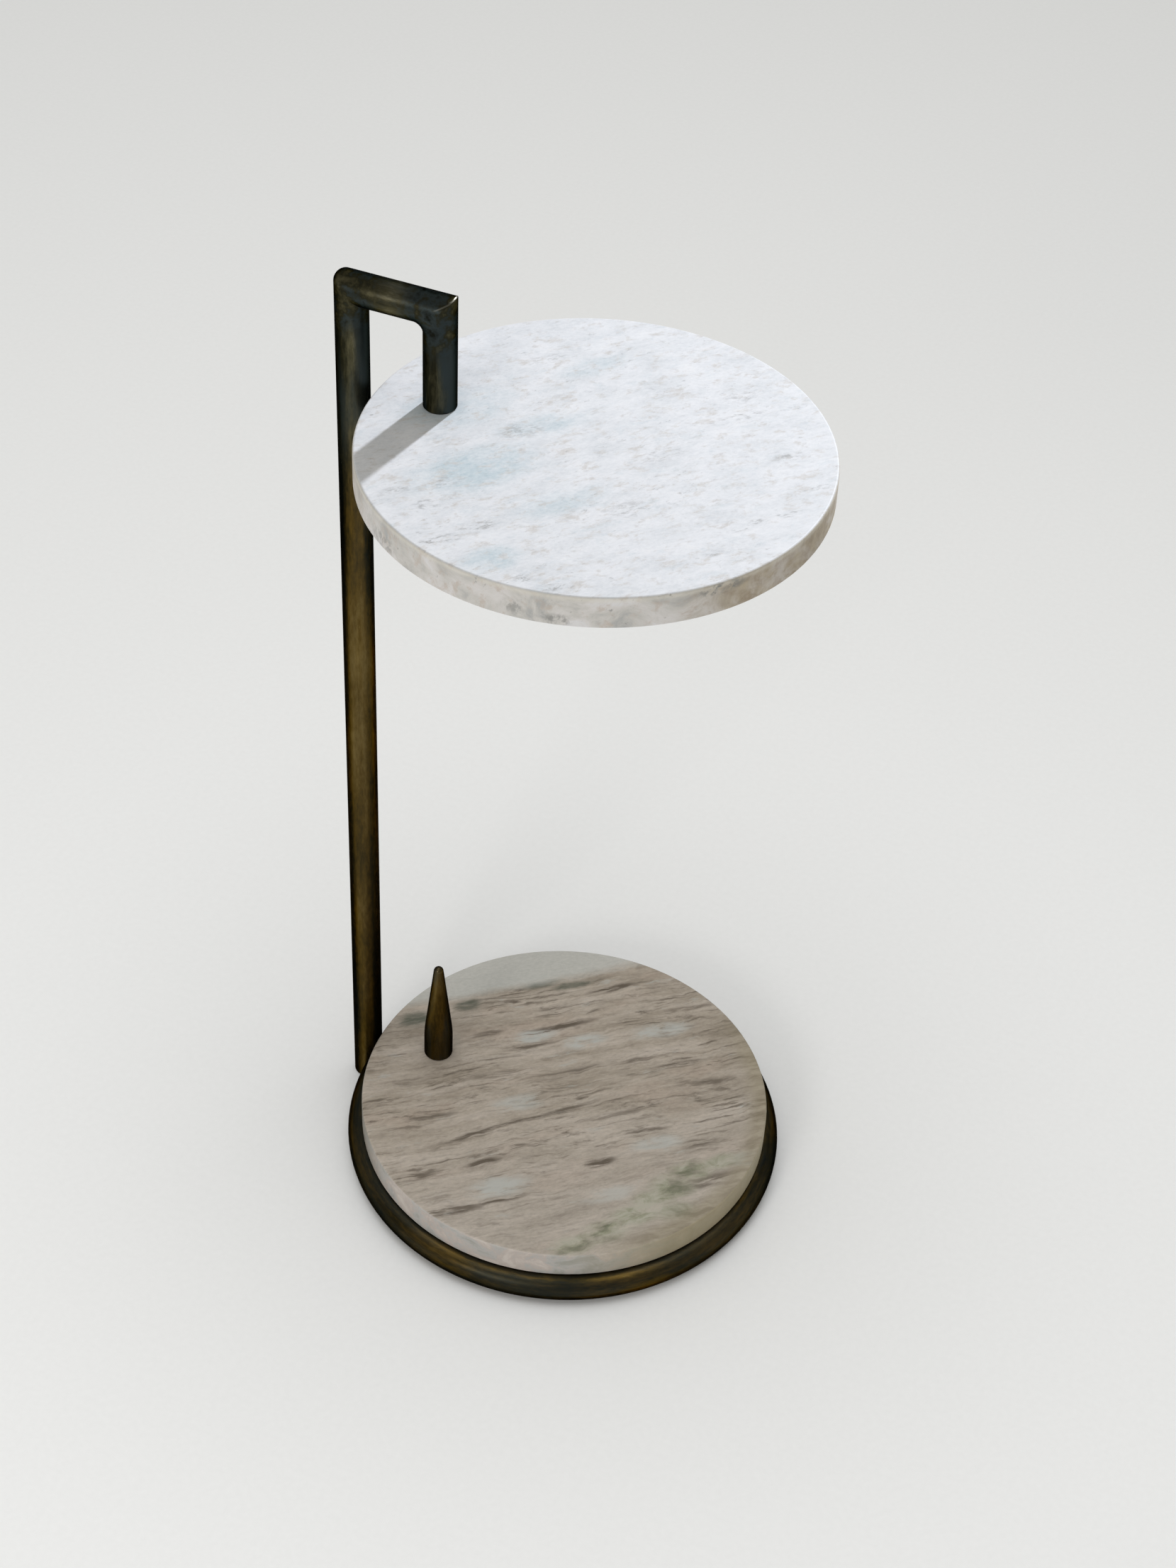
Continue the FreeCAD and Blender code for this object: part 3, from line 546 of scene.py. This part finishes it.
def ring_weld(material):
    """Rippled weld where the post meets the floor ring."""
    spread = math.acos((POST_X ** 2 + TUBE_R ** 2 - (RING_R + TUBE_R) ** 2) / (2 * abs(POST_X) * TUBE_R))
    half = WELD_POINTS // 2
    points = []
    for i in range(WELD_POINTS):
        side = 1 if i <= half else -1
        turn = spread * math.cos(math.pi * i / half)
        x = POST_X + TUBE_R * math.cos(turn)
        y = TUBE_R * math.sin(turn)
        out = math.hypot(x, y) - RING_R
        rise = math.sqrt(max(TUBE_R ** 2 - out ** 2, 0.0))
        points.append(Vector((x, y, RING_Z + side * rise)))
    waves = [math.sin(2 * math.pi * i / RIPPLE_POINTS) for i in range(WELD_POINTS)]
    radii = [WELD_R * (1 + WELD_RIPPLE * wave) for wave in waves]
    make_tube("ring_weld", points, radii, material)


post_zone = (0.14, 0.33, 0.37, 0.50, 0.14)
cone_zone = (CONE_TIP_Z - 0.05, CONE_TIP_Z - 0.01, CONE_TIP_Z, CONE_TIP_Z + 0.01, 0.08)
post_bronze = Bronze("bronze_post", along_z, gold=-0.06, cool=0.15, zone=post_zone, front=(POST_X, 0.18),
                     cool_end=(0.53, 0.61, 0.8), handle=True).material
leg_bronze = Bronze("bronze_leg", along_z, cool=0.95, front=(LEG_X, 0.02), handle=True).material
bar_bronze = Bronze("bronze_bar", along_x, gold=0.18, cool=0.45, handle=True).material
cone_bronze = Bronze("bronze_cone", along_z, gold=0.13, cool=0.6, zone=cone_zone).material
ring_bronze = Bronze("bronze_ring", around, gold=0.025, cool=0.3).material
dress(["marble_top"], stone_top())
dress(["marble_base"], stone_base())
dress(["post"], post_bronze)
dress(["drop_leg"], leg_bronze)
dress(["handle_bar"], bar_bronze)
dress(["cone_finial"], cone_bronze)
dress(["base_ring", "post_foot_plate", "top_plate", "slab_tabs"], ring_bronze)
dress(["leg_plug", "top_spring_washer", "top_bolt", "cone_stud", "base_washer", "base_nut"], zinc())
dress(["leg_gasket", "plate_gasket", "slab_pads", "floor_pads"], rubber())
ring_weld(ring_bronze)


FLOOR_HALF = 12.0


def make_floor():
    """Plain pale floor that runs out of sight."""
    mesh = bpy.data.meshes.new("floor")
    signs = ((-1, -1), (1, -1), (1, 1), (-1, 1))
    corners = [(FLOOR_HALF * x, FLOOR_HALF * y, 0) for x, y in signs]
    mesh.from_pydata(corners, [], [(0, 1, 2, 3)])
    floor = bpy.data.objects.new("floor", mesh)
    bpy.context.scene.collection.objects.link(floor)
    g = Graph("floor_paper")
    paper = g.noise(g.place, 220.0, 3.0, 0.6)
    g.set(Base_Color=g.ramp(paper, (0.3, 0.92), (0.7, 0.94)), Roughness=0.9, Specular_IOR_Level=0.1)
    mesh.materials.append(g.material)
    return floor


def make_light(name, position, target, size, watts, colour, lit=None):
    """Round area light, on the pieces in lit alone where it is given."""
    light = bpy.data.lights.new(name, "AREA")
    light.shape = "DISK"
    light.size = size
    light.energy = watts
    light.color = colour
    lamp = bpy.data.objects.new(name, light)
    bpy.context.scene.collection.objects.link(lamp)
    lamp.location = position
    lamp.rotation_euler = (Vector(target) - Vector(position)).to_track_quat("-Z", "Y").to_euler()
    if lit:
        receivers = bpy.data.collections.new(name + "_receivers")
        for piece in lit:
            receivers.objects.link(piece)
        lamp.light_linking.receiver_collection = receivers


def make_camera():
    """Camera of the photograph, from its place, azimuth, dip and roll."""
    sin_a, cos_a = math.sin(CAMERA_AZIMUTH), math.cos(CAMERA_AZIMUTH)
    sin_d, cos_d = math.sin(CAMERA_DIP), math.cos(CAMERA_DIP)
    level = Vector((cos_a, sin_a, 0))
    rise = Vector((-sin_a * sin_d, cos_a * sin_d, cos_d))
    right = level * math.cos(CAMERA_ROLL) + rise * math.sin(CAMERA_ROLL)
    up = rise * math.cos(CAMERA_ROLL) - level * math.sin(CAMERA_ROLL)
    back = right.cross(up)
    data = bpy.data.cameras.new("camera")
    data.sensor_fit = "VERTICAL"
    data.sensor_height = SENSOR_MM
    data.lens = SENSOR_MM * FOCAL_PX / IMAGE_H
    camera = bpy.data.objects.new("camera", data)
    bpy.context.scene.collection.objects.link(camera)
    camera.matrix_world = Matrix.Translation(CAMERA_AT) @ Matrix((right, up, back)).transposed().to_4x4()
    bpy.context.scene.camera = camera


floor = make_floor()
make_camera()

world = bpy.data.worlds.new("studio")
bpy.context.scene.world = world
world.use_nodes = True
backdrop = world.node_tree.nodes["Background"]
backdrop.inputs["Color"].default_value = (1.0, 0.99, 0.94, 1.0)
backdrop.inputs["Strength"].default_value = 0.425

# Daylight falls on the upper pieces from behind on the right; the lower ones stand in the room's own light
UPPER = ("marble_top", "handle_bar", "drop_leg", "post")
upper = [nodes[name] for name in UPPER]
lower = [piece for name, piece in nodes.items() if name not in UPPER]
KEY_AZIMUTH = math.radians(81.5)
KEY_HEIGHT = math.radians(36.0)
KEY_AWAY = 3.0
key_level = Vector((math.cos(KEY_AZIMUTH), math.sin(KEY_AZIMUTH), 0))
key_from = key_level * math.cos(KEY_HEIGHT) + Vector((0, 0, math.sin(KEY_HEIGHT)))
top_middle = Vector((0, 0, 0.6))
make_light("key", top_middle + KEY_AWAY * key_from, top_middle, size=0.12, watts=89.0,
           colour=(0.88, 0.92, 1.0), lit=upper)
make_light("room", (0, 0, 4.0), (0, 0, 0), size=4.0, watts=74.0, colour=(0.96, 0.98, 1.0),
           lit=[*lower, floor])
make_light("front", (-0.35, -2.5, 1.5), (0, 0, 0.3), size=0.8, watts=14.0, colour=(1.0, 0.98, 0.95))

bpy.context.scene.view_settings.view_transform = "Standard"
